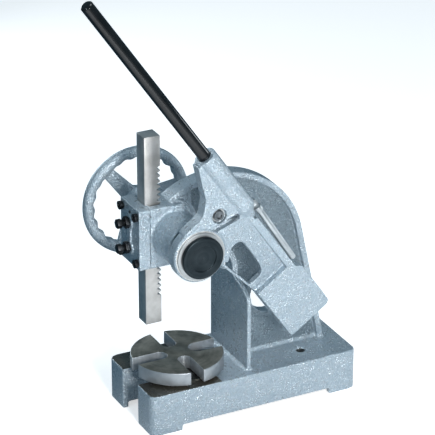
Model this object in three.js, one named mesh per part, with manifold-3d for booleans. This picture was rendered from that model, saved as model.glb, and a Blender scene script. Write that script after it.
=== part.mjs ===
import * as THREE from 'three';
import { mergeVertices } from 'three/addons/utils/BufferGeometryUtils.js';
import Module from 'manifold-3d';

const wasm = await Module();
wasm.setup();

// Design frame, in millimetres: X = 0 is the middle of the press and +X the lever side, Y = 0 is the
// front end of the base and +Y points to the rear, Z = 0 is the bench.

// ---- base ----
const baseWidth = 222;
const baseLength = 516;
const baseHeight = 98;
const baseCorner = 17;
const skirt = 14;               // wall of the cored base, and thickness of its feet
const coreTop = 18;             // metal left above the core
const coreFront = 142;          // the core starts here, behind the table pin
const footRise = 12.5;          // how far the base edge stands off the bench between its feet
const frontFoot = 77;
const rearFoot = 69;
const throatSlotWidth = 78;
const throatSlotDepth = 88;
const padStep = 0.8;            // the machined front of the top stands this much above the cast rear
const seatRadius = 85;
const seatRise = 5.4;           // round seat under the table
const padLength = 175;
const boltRadius = 10;
const boltSide = 56;            // bolt hole distance from the middle
const boltFromRear = 115;

// ---- table ----
const tableRadius = 105;
const tableThickness = 30.8;
const tableFromFront = 117;
const tableEdge = 1.5;
const tableSlots = [            // degrees about Z, width, distance of the round end from the centre
  { direction: 270, width: 33, inner: 26 },
  { direction: 0, width: 31, inner: 24 },
  { direction: 90, width: 40, inner: 30 },
  { direction: 180, width: 34, inner: 28 },
];
const pinRadius = 10;
const pinStandsUp = 20;
const pinGoesDown = 30;

// ---- ram and pinion ----
const ramSide = 38;
const ramLength = 448;
const ramFromFront = 52;
const ramBottomZ = 230;
const gearModule = 4;
const pressureAngle = THREE.MathUtils.degToRad(20);
const profileShift = 0.3;       // of the module, so that the rack tips do not undercut the pinion
const dedendum = 1.3;           // of the module
const tipRelief = 0.2;
const rackDepth = 2.25;         // of the module
const flankSteps = 4;
const backlash = 0.5;
const rackTeeth = 25;
const rackFromTop = 64;
const pinionLength = 74;

// ---- head ----
const headWidth = 94;
const headBottomZ = 379;
const headHeight = 142;
const headDepth = 74;           // behind the joint with the cover
const headChamfer = 20;
const shaftZ = 451;
const coverThickness = 27;
const gibThickness = 6;
const bossRadius = 56;
const bossEndX = 125;
const wheelBossEndX = -112;
const wayPocket = 8;            // oil pocket beside the ram, in the top of the head
const wayPocketDepth = 24;
const wayPocketWall = 6;
const wayPocketShort = 4;
const lugProud = 4;             // small cast lug with an oil hole, high on the lever side
const lugLength = 24;
const lugHeight = 30;
const lugRise = 14;             // its top, above the top of the boss
const lugPast = 6;
const lugHole = 2.5;
const lugHoleDrop = 11;
const bossEdge = 3;
const coverScrewRadius = 6;
const coverScrewGrip = 25;      // thread in the head
const screwHeadRadius = 10;
const screwHeadHeight = 9;
const screwHeadEdge = 0.8;
const socketFlats = 9;
const socketSunk = 5;
const screwInset = 10;          // cover screws and dowels, from the side of the head
const screwFromEnd = 16;
const dowelRadius = 4;
const dowelDepth = 12;
const dowelRise = 28;
const gibEnd = 8;               // cover left above and below the gib plate
const adjusterRise = 30;
const adjusterRadius = 8;
const adjusterPad = 17;
const adjusterHead = 19;        // across flats
const adjusterHeadHeight = 11;
const adjusterNeck = 7;
const lockNutFlats = 24;
const lockNutThickness = 10;
const ribHalf = 9;
const ribProud = 4;
const oilerRadius = 3.5;
const oilerRise = 23;           // above the upper adjusting screw
const oilerDepth = 8;
const oilerProud = 0.8;
const coverCorner = 3;

// ---- upright ----
const archCentreY = 211;
const archCentreZ = 345;
const archRadius = 214;
const rearLean = THREE.MathUtils.degToRad(11.7);
const rimWidth = 40;
const rimThickness = 14;
const webThickness = 16;
const throatRadius = 72;
const columnFrontY = 247;
const columnPlate = 11;
const columnWidth = 182;
const columnCrown = 305;
const columnCrownRadius = 153;
const columnShoulder = 16;
const windowRadius = 45;
const windowY = 340;
const windowZ = 237;
const windowBead = 13;
const beadProud = 6;
const webPadRadius = 54;
const webPadY = 270;
const webPadZ = 450;
const webPadProud = 6;
const webPadDish = 34;
const webPadSunk = 3;

// ---- shaft ----
const shaftRadius = 20;
const wheelBushWall = 6;
const leverBushWall = 5;
const pinionPass = 2;           // room for the pinion to pass the lever side bore on assembly
const leverStubRadius = 14;
const wheelSeatRadius = 15;
const threadRadius = 10;
const keyWidth = 8;
const keyHeight = 8;
const keyInset = 4;
const spacerRadius = 30;

// ---- lever ----
const leverLean = THREE.MathUtils.degToRad(34.6);   // handle, from the vertical towards the front
const hubRadius = 62;
const hubRearX = 141;
const hubFrontX = 170;
const hubChamfer = 4;
const ratchetRadius = 46;
const ratchetDepth = 7;
const ratchetTeeth = 20;
const ratchetEndX = 155.4;
const ratchetRoom = 4;          // from the ratchet tips to the wall of the hub
const armRearX = 135;
const armFrontX = 165;
const socketRadius = 25;
const socketX = 150;
const socketOffset = 142;       // handle line, from the shaft axis
const socketMouth = 171;
const socketDepth = 111;
const handleRadius = 14;
const handleOut = 470;
const weightStart = 187;
const weightEnd = 333;
const weightLow = 46;
const weightHigh = 161;
const weightRearX = 121;
const panelDepth = 17;
const borderInner = 132;
const borderOuter = 149;
const pawlPivotA = -40;
const pawlPivotB = 86;
const pawlRearX = 137.5;
const pawlFrontX = 150.5;
const pocketFrontX = 153;
const pawlHub = 13;
const barRadius = 7.2;
const barX = 157;
const barBoss = 9;             // boss on the end of the pawl that holds the release bar
const barBossEnd = 11;
const barStart = [14, 163.7];
const barEnd = [180, 156.9];
const pawlPinRadius = 8;
const pawlHeadRadius = 12.5;
const pawlSpotFace = 17;
const pawlHeadDepth = 8;
const springRearX = 145.5;
const setScrewRadius = 5;
const setScrewIn = 30;          // from the mouth of the socket
const capRadius = 48;
const capThickness = 11.5;
const capRecess = 30.5;
const ringRadius = 55;
const ringThickness = 2.9;
const capSpigot = 6;
const capSunk = 2.5;

// ---- handwheel ----
const wheelX = -158;
const rimCentre = 115;
const rimSection = 14;
const gripWaves = 21;
const gripDepth = 3.2;
const spokeCount = 3;
const spokePhase = THREE.MathUtils.degToRad(10.5);
const spokeRoot = 40;
const spokeTip = 29;
const spokeThickness = 12;
const wheelHubRadius = 27;
const wheelHubLength = 38;
const wheelThreadLength = 18;
const wheelWasherRadius = 22;
const wheelWasherThickness = 3;
const wheelNutFlats = 30;
const wheelNutThickness = 12;

// ---- clearances ----
const gap = 0.3;                // between faces that seat on each other
const slip = 0.4;               // between sliding ways
const run = 0.3;                // radial, in a turning bore

// ---- worked out ----
const ramFrontY = ramFromFront - ramSide / 2;
const coverRearY = ramFrontY - slip;
const jointY = coverRearY + gap;                    // front face of the head
const gibRearY = ramFrontY - gap;
const coverFrontY = jointY - coverThickness;
const pinionTeeth = Math.ceil(2 * shaftRadius / gearModule + 2 * (dedendum - profileShift));
const pitchRadius = gearModule * pinionTeeth / 2;
const pinionTip = pitchRadius + gearModule * (1 + profileShift) - tipRelief;
const leverBoreRadius = pinionTip + pinionPass;
const wheelBushRadius = shaftRadius + wheelBushWall;
const leverBushRadius = shaftRadius + leverBushWall;
const rackLineY = ramFromFront + ramSide / 2 - gearModule;
const shaftY = rackLineY + pitchRadius + profileShift * gearModule;
const seatZ = baseHeight + seatRise;
const tableTopZ = seatZ + gap + tableThickness;
const headTopZ = headBottomZ + headHeight;
const headMiddleZ = headBottomZ + headHeight / 2;
const upperZ = headMiddleZ + adjusterRise;
const lowerZ = headMiddleZ - adjusterRise;
const oilerZ = upperZ + oilerRise;
const lugTopZ = shaftZ + bossRadius + lugRise;
const gibFrontY = gibRearY - gibThickness;
const nutRearY = coverFrontY - ribProud - gap;
const capRearX = hubFrontX + gap + ringThickness + gap;
const leverAngle = leverLean - Math.PI / 2;
const ratchetRearX = bossEndX + 1;
const ratchetKeyX = [ratchetRearX + keyInset, ratchetEndX - keyInset];
const wheelHubX0 = wheelX - wheelHubLength / 2 + 4;
const wheelHubX1 = wheelHubX0 + wheelHubLength;
const wheelKeyX = [wheelHubX0 + keyInset, wheelHubX1 - keyInset];
const socketEnd = socketMouth - socketDepth;
const setScrewA = setScrewIn - socketMouth;
const weightShoulder = weightStart + 9;

// local (x, y, z) to design axes, for pieces drawn flat and extruded or turned
const alongX = new THREE.Matrix4().set(0, 0, 1, 0, 1, 0, 0, 0, 0, 1, 0, 0, 0, 0, 0, 1);
const alongY = new THREE.Matrix4().set(1, 0, 0, 0, 0, 0, -1, 0, 0, 1, 0, 0, 0, 0, 0, 1);
const turnedX = new THREE.Matrix4().set(0, 1, 0, 0, 0, 0, 1, 0, 1, 0, 0, 0, 0, 0, 0, 1);

function signedVolume(positions, triangles) {
  const a = new THREE.Vector3(), b = new THREE.Vector3(), c = new THREE.Vector3();
  let sum = 0;
  for (let i = 0; i < triangles.length; i += 3) {
    a.fromArray(positions, triangles[i] * 3);
    b.fromArray(positions, triangles[i + 1] * 3);
    c.fromArray(positions, triangles[i + 2] * 3);
    sum += a.dot(b.cross(c));
  }
  return sum;
}

const weldDistance = 1e-4;

// a closed geometry as a solid whose faces point out
function solid(geometry) {
  const bare = geometry.clone();
  for (const name of Object.keys(bare.attributes)) {
    if (name !== 'position') bare.deleteAttribute(name);
  }
  const merged = mergeVertices(bare, weldDistance);
  const positions = merged.attributes.position.array;
  const kept = [];
  const index = merged.index.array;
  for (let i = 0; i < index.length; i += 3) {
    const [p, q, r] = [index[i], index[i + 1], index[i + 2]];
    if (p !== q && q !== r && r !== p) kept.push(p, q, r);
  }
  const triVerts = Uint32Array.from(kept);
  if (signedVolume(positions, triVerts) < 0) {
    for (let i = 0; i < triVerts.length; i += 3) {
      [triVerts[i], triVerts[i + 1]] = [triVerts[i + 1], triVerts[i]];
    }
  }
  const vertProperties = new Float32Array(positions);
  return new wasm.Manifold(new wasm.Mesh({ numProp: 3, vertProperties, triVerts }));
}

// a cut runs 1 mm past each face that it opens
function box(x0, x1, y0, y1, z0, z1) {
  const shape = new THREE.BoxGeometry(x1 - x0, y1 - y0, z1 - z0);
  return solid(shape.translate((x0 + x1) / 2, (y0 + y1) / 2, (z0 + z1) / 2));
}

// outline in (Y, Z), from x0 to x1
function prismX(shape, x0, x1, curveSegments = 10) {
  const flat = new THREE.ExtrudeGeometry(shape, { depth: x1 - x0, bevelEnabled: false, curveSegments });
  return solid(flat.applyMatrix4(alongX).translate(x0, 0, 0));
}

// outline in (X, Z), from y0 to y1
function prismY(shape, y0, y1, curveSegments = 10) {
  const flat = new THREE.ExtrudeGeometry(shape, { depth: y1 - y0, bevelEnabled: false, curveSegments });
  return solid(flat.applyMatrix4(alongY).translate(0, y1, 0));
}

// outline in (X, Y), from z0 to z1
function prismZ(shape, z0, z1, curveSegments = 10) {
  const flat = new THREE.ExtrudeGeometry(shape, { depth: z1 - z0, bevelEnabled: false, curveSegments });
  return solid(flat.translate(0, 0, z0));
}

function cylinderX(radius, x0, x1, y = 0, z = 0, sides = 36, endRadius = radius) {
  const rod = new THREE.CylinderGeometry(endRadius, radius, x1 - x0, sides);
  return solid(rod.rotateZ(-Math.PI / 2).translate((x0 + x1) / 2, y, z));
}

function cylinderY(radius, y0, y1, x = 0, z = 0, sides = 24, endRadius = radius) {
  const rod = new THREE.CylinderGeometry(endRadius, radius, y1 - y0, sides);
  return solid(rod.translate(x, (y0 + y1) / 2, z));
}

function cylinderZ(radius, z0, z1, x = 0, y = 0, sides = 32, endRadius = radius) {
  const rod = new THREE.CylinderGeometry(endRadius, radius, z1 - z0, sides);
  return solid(rod.rotateX(Math.PI / 2).translate(x, y, (z0 + z1) / 2));
}

// profile of [radius, x] points that starts and ends on the axis or closes on itself
function turned(profile, sides = 36) {
  const points = profile.map(([r, x]) => new THREE.Vector2(r, x));
  return solid(new THREE.LatheGeometry(points, sides).applyMatrix4(turnedX));
}

function hexagon(acrossFlats) {
  const shape = new THREE.Shape();
  const corner = acrossFlats / Math.sqrt(3);
  for (let i = 0; i < 6; i += 1) {
    const angle = i * Math.PI / 3;
    shape[i ? 'lineTo' : 'moveTo'](corner * Math.cos(angle), corner * Math.sin(angle));
  }
  shape.closePath();
  return shape;
}

// closed outline through corner points, each rounded by its own radius
function rounded(corners) {
  const shape = new THREE.Shape();
  const count = corners.length;
  corners.forEach(([x, y, radius = 0], i) => {
    const here = new THREE.Vector2(x, y);
    const before = new THREE.Vector2(...corners[(i + count - 1) % count]).sub(here);
    const after = new THREE.Vector2(...corners[(i + 1) % count]).sub(here);
    const half = before.angleTo(after) / 2;
    const longest = 0.49 * Math.min(before.length(), after.length());
    const reach = radius ? Math.min(radius / Math.tan(half), longest) : 0;
    const from = here.clone().addScaledVector(before.normalize(), reach);
    const to = here.clone().addScaledVector(after.normalize(), reach);
    shape[i ? 'lineTo' : 'moveTo'](from.x, from.y);
    if (reach) shape.quadraticCurveTo(here.x, here.y, to.x, to.y);
  });
  shape.closePath();
  return shape;
}

function rectangle(x0, x1, y0, y1, radius = 0) {
  return rounded([[x0, y0, radius], [x1, y0, radius], [x1, y1, radius], [x0, y1, radius]]);
}

const finishes = {
  paint: { color: 0xaab4bf, roughness: 0.45, metalness: 0.25 },
  machined: { color: 0x55564c, roughness: 0.4, metalness: 0.8 },
  ground: { color: 0xc9c9cf, roughness: 0.3, metalness: 0.9 },
  black: { color: 0x17191b, roughness: 0.4, metalness: 0.5 },
  bronze: { color: 0xa9793c, roughness: 0.35, metalness: 0.9 },
};

function piece(name, body, finish) {
  const mesh = body.getMesh();
  const geometry = new THREE.BufferGeometry();
  geometry.setAttribute('position', new THREE.BufferAttribute(Float32Array.from(mesh.vertProperties), 3));
  geometry.setIndex(new THREE.BufferAttribute(Uint32Array.from(mesh.triVerts), 1));
  geometry.computeVertexNormals();
  const made = new THREE.Mesh(geometry, new THREE.MeshStandardMaterial(finishes[finish]));
  made.name = name;
  return made;
}

function baseOutline() {
  const half = baseWidth / 2;
  const slot = throatSlotWidth / 2;
  const shape = new THREE.Shape();
  shape.moveTo(-half, baseCorner);
  shape.absarc(-half + baseCorner, baseCorner, baseCorner, Math.PI, 1.5 * Math.PI);
  shape.lineTo(-slot, 0);
  shape.lineTo(-slot, throatSlotDepth - slot);
  shape.absarc(0, throatSlotDepth - slot, slot, Math.PI, 0, true);
  shape.lineTo(slot, 0);
  shape.absarc(half - baseCorner, baseCorner, baseCorner, 1.5 * Math.PI, 2 * Math.PI);
  shape.absarc(half - baseCorner, baseLength - baseCorner, baseCorner, 0, 0.5 * Math.PI);
  shape.absarc(-half + baseCorner, baseLength - baseCorner, baseCorner, 0.5 * Math.PI, Math.PI);
  return shape;
}

function baseCasting() {
  const half = baseWidth / 2;
  const boltY = baseLength - boltFromRear;
  const slot = throatSlotWidth / 2;
  const castTop = baseHeight - padStep;
  const coreRoof = baseHeight - coreTop;
  let body = prismZ(baseOutline(), 0, baseHeight, 6);
  body = body.subtract(box(-half - 1, half + 1, padLength, baseLength + 1, castTop, baseHeight + 1));
  const seat = cylinderZ(seatRadius, baseHeight - 1, seatZ, 0, tableFromFront, 48);
  body = body.add(seat.intersect(prismZ(baseOutline(), baseHeight - 2, seatZ + 1, 6)));
  body = body.subtract(box(-half - 1, half + 1, frontFoot, baseLength - rearFoot, -1, footRise));
  for (const side of [-1, 1]) {
    const inner = side * (slot - 1);
    const outer = side * (half - skirt);
    const [x0, x1] = [Math.min(inner, outer), Math.max(inner, outer)];
    body = body.subtract(box(x0, x1, skirt, frontFoot + 1, -1, footRise));
    body = body.subtract(cylinderZ(boltRadius, -1, baseHeight + 1, side * boltSide, boltY, 24));
  }
  body = body.subtract(box(-half + skirt, half - skirt, coreFront, baseLength - skirt, -1, coreRoof));
  const pinHole = cylinderZ(pinRadius + gap, seatZ - pinGoesDown - gap, seatZ + 1, 0, tableFromFront);
  return body.subtract(pinHole);
}

// side view of the upright, drawn this far inside its outer edge
function uprightOutline(inset, bottomZ) {
  const radius = archRadius - inset;
  const archEndY = archCentreY + radius * Math.cos(rearLean);
  const archEndZ = archCentreZ + radius * Math.sin(rearLean);
  const footY = archEndY + (archEndZ - bottomZ) * Math.tan(rearLean);
  const throat = throatRadius + inset;
  const throatY = columnFrontY - throatRadius;
  const throatZ = headBottomZ + headChamfer / 2 - throatRadius;
  const frontAngle = Math.PI - Math.asin((shaftZ - archCentreZ) / radius);
  const shape = new THREE.Shape();
  shape.moveTo(footY, bottomZ);
  shape.lineTo(archEndY, archEndZ);
  shape.absarc(archCentreY, archCentreZ, radius, rearLean, frontAngle);
  shape.lineTo(throatY, shaftZ);
  shape.absarc(throatY, throatZ, throat, Math.PI / 2, 0, true);
  shape.lineTo(columnFrontY + inset, bottomZ);
  shape.closePath();
  return shape;
}

function columnOutline() {
  const half = columnWidth / 2;
  const crownHalf = half - columnShoulder / 2;
  const crownCentreZ = columnCrown - columnCrownRadius;
  const shoulderZ = crownCentreZ + Math.sqrt(columnCrownRadius ** 2 - crownHalf ** 2);
  const spread = Math.asin(crownHalf / columnCrownRadius);
  const [from, to] = [Math.PI / 2 - spread, Math.PI / 2 + spread];
  const shape = new THREE.Shape();
  shape.moveTo(-half, baseHeight + gap);
  shape.lineTo(half, baseHeight + gap);
  shape.lineTo(half, shoulderZ - columnShoulder);
  shape.quadraticCurveTo(half, shoulderZ - columnShoulder / 4, crownHalf, shoulderZ);
  shape.absarc(0, crownCentreZ, columnCrownRadius, from, to);
  shape.quadraticCurveTo(-half, shoulderZ - columnShoulder / 4, -half, shoulderZ - columnShoulder);
  shape.closePath();
  return shape;
}

function uprightCasting() {
  const floor = baseHeight + gap;
  const web = webThickness / 2;
  const rim = rimWidth / 2;
  let body = prismX(uprightOutline(0, floor), -rim, rim, 28);
  const pocket = uprightOutline(rimThickness, floor - 1);
  const room = bossRadius + rimThickness;
  for (const side of [-1, 1]) {
    const [x0, x1] = side < 0 ? [-rim - 1, -web] : [web, rim + 1];
    const cut = prismX(pocket, x0, x1, 24).subtract(cylinderX(room, x0 - 1, x1 + 1, shaftY, shaftZ, 32));
    body = body.subtract(cut);
  }
  const padHalf = web + webPadProud;
  body = body.add(cylinderX(webPadRadius, -padHalf, padHalf, webPadY, webPadZ, 40));
  const dishHalf = padHalf - webPadSunk;
  for (const [x0, x1] of [[-padHalf - 1, -dishHalf], [dishHalf, padHalf + 1]]) {
    body = body.subtract(cylinderX(webPadDish, x0, x1, webPadY, webPadZ, 32));
  }
  const beadHalf = web + beadProud;
  body = body.add(cylinderX(windowRadius + windowBead, -beadHalf, beadHalf, windowY, windowZ, 40));
  body = body.subtract(cylinderX(windowRadius, -rim, rim, windowY, windowZ, 40));
  body = body.add(prismY(columnOutline(), columnFrontY, columnFrontY + columnPlate, 20));
  body = body.subtract(cylinderX(bossRadius + gap, -rim - 1, rim + 1, shaftY, shaftZ, 48));
  body = body.subtract(prismX(headOutline(gap), -rim - 1, rim + 1));
  const rimEnd = jointY + headDepth - headChamfer + 2;
  return body.subtract(box(-rim - 1, rim + 1, -archRadius, rimEnd, 0, headTopZ + archRadius));
}

// side view of the head block, with this much added behind, above and below it
function headOutline(grown) {
  const rear = jointY + headDepth + grown;
  const [bottom, top] = [headBottomZ - grown, headTopZ + grown];
  return rounded([
    [jointY, bottom], [rear, bottom], [rear, top - headChamfer], [rear - headChamfer, top], [jointY, top],
  ]);
}

function headCasting() {
  const half = headWidth / 2;
  const rear = jointY + headDepth;
  const way = ramSide / 2 + slip;
  const ramRearY = ramFromFront + ramSide / 2;
  const wayBottomZ = Math.min(headBottomZ, shaftZ - bossRadius) - 1;
  const wayTopZ = Math.max(headTopZ, shaftZ + bossRadius) + 1;
  let body = prismX(headOutline(0), -half, half);
  const boss = turned([
    [0, wheelBossEndX], [bossRadius - bossEdge, wheelBossEndX], [bossRadius, wheelBossEndX + bossEdge],
    [bossRadius, bossEndX - bossEdge], [bossRadius - bossEdge, bossEndX], [0, bossEndX],
  ], 48).translate([0, shaftY, shaftZ]);
  body = body.add(boss);
  const lugRear = rear + lugPast;
  const [lugIn, lugOut] = [half - lugProud, half + lugProud];
  body = body.add(box(lugIn, lugOut, lugRear - lugLength, lugRear, lugTopZ - lugHeight, lugTopZ));
  const [holeY, holeZ] = [lugRear - lugLength / 2, lugTopZ - lugHoleDrop];
  body = body.subtract(cylinderX(lugHole, lugIn - 1, lugOut + 1, holeY, holeZ, 12));
  body = body.subtract(box(-way, way, 0, ramRearY + slip, wayBottomZ, wayTopZ));
  const pocketZ = headTopZ - wayPocketDepth;
  const pocketY = [jointY + wayPocketWall, ramRearY - wayPocketShort];
  body = body.subtract(box(0, way + wayPocket, ...pocketY, pocketZ, headTopZ + 1));
  const pinionEnd = pinionLength / 2 + 1;
  body = body.subtract(cylinderX(leverBoreRadius, -pinionEnd, bossEndX + 1, shaftY, shaftZ, 40));
  body = body.subtract(cylinderX(wheelBushRadius + gap, wheelBossEndX - 1, 2 - pinionEnd, shaftY, shaftZ, 40));
  for (const { x, z } of coverScrewPlaces()) {
    const hole = cylinderY(coverScrewRadius + gap, jointY - 1, jointY + coverScrewGrip + 1, x, z, 16);
    body = body.subtract(hole);
  }
  for (const { x, z } of dowelPlaces()) {
    body = body.subtract(cylinderY(dowelRadius + gap, jointY - 1, jointY + dowelDepth, x, z, 16));
  }
  return body;
}

function coverScrewPlaces() {
  const side = headWidth / 2 - screwInset;
  const rise = headHeight / 2 - screwFromEnd;
  const corners = [[-side, rise], [side, rise], [-side, -rise], [side, -rise]];
  return corners.map(([x, z]) => ({ x, z: headMiddleZ + z }));
}

function dowelPlaces() {
  const out = headWidth / 2 - screwInset;
  return [-1, 1].map((side) => ({ x: side * out, z: headMiddleZ + side * dowelRise }));
}

function frontCover() {
  const half = headWidth / 2;
  const gibHalf = ramSide / 2 + gap;
  const plate = rectangle(-half, half, headBottomZ, headTopZ, coverCorner);
  const rib = rectangle(-ribHalf, ribHalf, lowerZ, upperZ);
  let body = prismY(plate, coverFrontY, coverRearY, 3);
  body = body.add(prismY(rib, coverFrontY - ribProud, coverFrontY + 1));
  for (const z of [upperZ, lowerZ]) {
    body = body.add(cylinderY(adjusterPad, coverFrontY - ribProud, coverFrontY + 1, 0, z, 28));
    body = body.subtract(cylinderY(adjusterRadius + gap, nutRearY - 1, jointY, 0, z, 20));
  }
  const [gibBottomZ, gibTopZ] = [headBottomZ + gibEnd, headTopZ - gibEnd];
  body = body.subtract(box(-gibHalf, gibHalf, gibFrontY - gap, jointY, gibBottomZ, gibTopZ));
  for (const { x, z } of coverScrewPlaces()) {
    body = body.subtract(cylinderY(coverScrewRadius + gap, coverFrontY - 1, jointY, x, z, 16));
  }
  for (const { x, z } of dowelPlaces()) {
    body = body.subtract(cylinderY(dowelRadius + gap, jointY - dowelDepth, jointY, x, z, 16));
  }
  return body.subtract(cylinderY(oilerRadius + gap, coverFrontY - 1, coverFrontY + oilerDepth, 0, oilerZ, 16));
}

function oiler() {
  return cylinderY(oilerRadius, coverFrontY - oilerProud, coverFrontY + oilerDepth - gap, 0, oilerZ, 16);
}

function gibPlate() {
  const [bottom, top] = [headBottomZ + gibEnd + gap, headTopZ - gibEnd - gap];
  return box(-ramSide / 2, ramSide / 2, gibFrontY, gibRearY, bottom, top);
}

function coverScrew({ x, z }) {
  const front = coverFrontY - gap;
  const face = front - screwHeadHeight;
  const head = cylinderY(screwHeadRadius, face, front, x, z, 20, screwHeadRadius - screwHeadEdge);
  const shank = cylinderY(coverScrewRadius, front - 1, jointY + coverScrewGrip, x, z, 16);
  const socket = prismY(hexagon(socketFlats), face - 1, face + socketSunk).translate([x, 0, z]);
  return head.add(shank).subtract(socket);
}

function dowel({ x, z }) {
  return cylinderY(dowelRadius, jointY - dowelDepth + gap, jointY + dowelDepth - gap, x, z, 16);
}

function lockNut(z) {
  const front = nutRearY - lockNutThickness;
  const nut = prismY(hexagon(lockNutFlats), front, nutRearY).translate([0, 0, z]);
  return nut.subtract(cylinderY(adjusterRadius + gap, front - 1, nutRearY + 1, 0, z, 20));
}

function adjustingScrew(z) {
  const headRear = nutRearY - lockNutThickness - adjusterNeck;
  const shank = cylinderY(adjusterRadius, headRear - 1, gibFrontY - gap, 0, z, 20);
  const head = prismY(hexagon(adjusterHead), headRear - adjusterHeadHeight, headRear);
  return shank.add(head.translate([0, 0, z]));
}

function tablePlate() {
  const bottom = seatZ + gap;
  const edgeZ = tableTopZ - tableEdge;
  let body = cylinderZ(tableRadius, bottom, edgeZ, 0, tableFromFront, 72);
  body = body.add(cylinderZ(tableRadius, edgeZ, tableTopZ, 0, tableFromFront, 72, tableRadius - tableEdge));
  for (const { direction, width, inner } of tableSlots) {
    const half = width / 2;
    const slot = new THREE.Shape();
    slot.moveTo(tableRadius + 5, -half);
    slot.lineTo(tableRadius + 5, half);
    slot.lineTo(inner + half, half);
    slot.absarc(inner + half, 0, half, Math.PI / 2, 1.5 * Math.PI);
    const cut = prismZ(slot, bottom - 1, tableTopZ + 1, 10).rotate([0, 0, direction]);
    body = body.subtract(cut.translate([0, tableFromFront, 0]));
  }
  const bore = cylinderZ(pinRadius + run, bottom - 1, seatZ + pinStandsUp + gap, 0, tableFromFront);
  return body.subtract(bore);
}

function tablePin() {
  return cylinderZ(pinRadius, seatZ - pinGoesDown, seatZ + pinStandsUp, 0, tableFromFront);
}

function ram() {
  const half = ramSide / 2;
  const rear = ramFromFront + half;
  const top = ramBottomZ + ramLength;
  let body = box(-half, half, ramFromFront - half, rear, ramBottomZ, top);
  const pitch = Math.PI * gearModule;
  const depth = rackDepth * gearModule;
  const slope = Math.tan(pressureAngle);
  const gapAtLine = pitch / 2 + backlash / 2;
  const wide = gapAtLine / 2 + gearModule * slope + slope;
  const narrow = gapAtLine / 2 - (depth - gearModule) * slope;
  // a pinion tooth stands level with the shaft at rest, so a rack gap is centred there
  const highest = Math.floor((top - rackFromTop - shaftZ) / pitch);
  for (let i = 0; i < rackTeeth; i += 1) {
    const z = shaftZ + (highest - i) * pitch;
    const notch = rounded([
      [rear + 1, z - wide], [rear + 1, z + wide], [rear - depth, z + narrow], [rear - depth, z - narrow],
    ]);
    body = body.subtract(prismX(notch, -half - 1, half + 1));
  }
  return body;
}

function pinionOutline() {
  const baseRadius = pitchRadius * Math.cos(pressureAngle);
  const root = pitchRadius + gearModule * (profileShift - dedendum);
  const shifted = 2 * profileShift * gearModule * Math.tan(pressureAngle);
  const thickness = Math.PI * gearModule / 2 + shifted - backlash / 2;
  const involute = (angle) => Math.tan(angle) - angle;
  const halfAt = (radius) => {
    const angle = Math.acos(Math.min(1, baseRadius / radius));
    return thickness / 2 / pitchRadius + involute(pressureAngle) - involute(angle);
  };
  const radii = [];
  for (let i = 0; i <= flankSteps; i += 1) {
    radii.push(THREE.MathUtils.lerp(baseRadius, pinionTip, i / flankSteps));
  }
  const shape = new THREE.Shape();
  for (let tooth = 0; tooth < pinionTeeth; tooth += 1) {
    const middle = Math.PI + tooth * 2 * Math.PI / pinionTeeth;
    const flank = halfAt(radii[0]);
    const points = [[root, -flank], ...radii.map((r) => [r, -halfAt(r)])];
    const back = points.map(([r, a]) => [r, -a]).reverse();
    for (const [r, a] of points.concat(back)) {
      const [x, y] = [r * Math.cos(middle + a), r * Math.sin(middle + a)];
      if (shape.curves.length || shape.currentPoint.lengthSq()) shape.lineTo(x, y);
      else shape.moveTo(x, y);
    }
  }
  shape.closePath();
  return shape;
}

function keySlot(x0, x1, radius) {
  return box(x0, x1, -keyWidth / 2 - gap, keyWidth / 2 + gap, radius - keyHeight / 2 - gap, radius + keyHeight);
}

function key(x0, x1, radius) {
  return box(x0, x1, -keyWidth / 2, keyWidth / 2, radius - keyHeight / 2, radius + keyHeight / 2);
}

function pinionShaft() {
  const stub = capRearX + capSpigot;
  const threadEnd = wheelHubX0 - wheelThreadLength;
  let body = turned([
    [0, threadEnd], [threadRadius, threadEnd], [threadRadius, wheelHubX0 + gap],
    [wheelSeatRadius, wheelHubX0 + gap], [wheelSeatRadius, wheelHubX1 + gap], [shaftRadius, wheelHubX1 + gap],
    [shaftRadius, capRearX - gap], [leverStubRadius, capRearX - gap], [leverStubRadius, stub], [0, stub],
  ], 36);
  body = body.add(prismX(pinionOutline(), -pinionLength / 2, pinionLength / 2));
  body = body.subtract(keySlot(ratchetKeyX[0] - gap, ratchetKeyX[1] + gap, shaftRadius));
  return body.subtract(keySlot(wheelKeyX[0] - gap, wheelKeyX[1] + gap, wheelSeatRadius));
}

function bush(outer, x0, x1) {
  const bore = cylinderX(shaftRadius + run, x0 - 1, x1 + 1, 0, 0, 40);
  return cylinderX(outer, x0, x1, 0, 0, 40).subtract(bore);
}

function ratchetWheel() {
  const shape = new THREE.Shape();
  for (let i = 0; i < ratchetTeeth; i += 1) {
    const start = i * 2 * Math.PI / ratchetTeeth;
    const step = 2 * Math.PI / ratchetTeeth;
    const root = ratchetRadius - ratchetDepth;
    const points = [[ratchetRadius, start], [root, start + step / 8], [ratchetRadius - 1, start + step * 0.86]];
    for (const [r, a] of points) {
      const [x, y] = [r * Math.cos(a), r * Math.sin(a)];
      if (i || shape.currentPoint.lengthSq()) shape.lineTo(x, y);
      else shape.moveTo(x, y);
    }
  }
  shape.closePath();
  let body = prismX(shape, ratchetRearX, ratchetEndX);
  body = body.subtract(cylinderX(shaftRadius + gap, ratchetRearX - 1, ratchetEndX + 1));
  return body.subtract(keySlot(ratchetRearX - 1, ratchetEndX + 1, shaftRadius));
}

function thrustRing() {
  const x0 = hubFrontX + gap;
  const ring = cylinderX(ringRadius, x0, x0 + ringThickness, 0, 0, 56);
  return ring.subtract(cylinderX(shaftRadius + gap, x0 - 1, x0 + ringThickness + 1));
}

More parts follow.
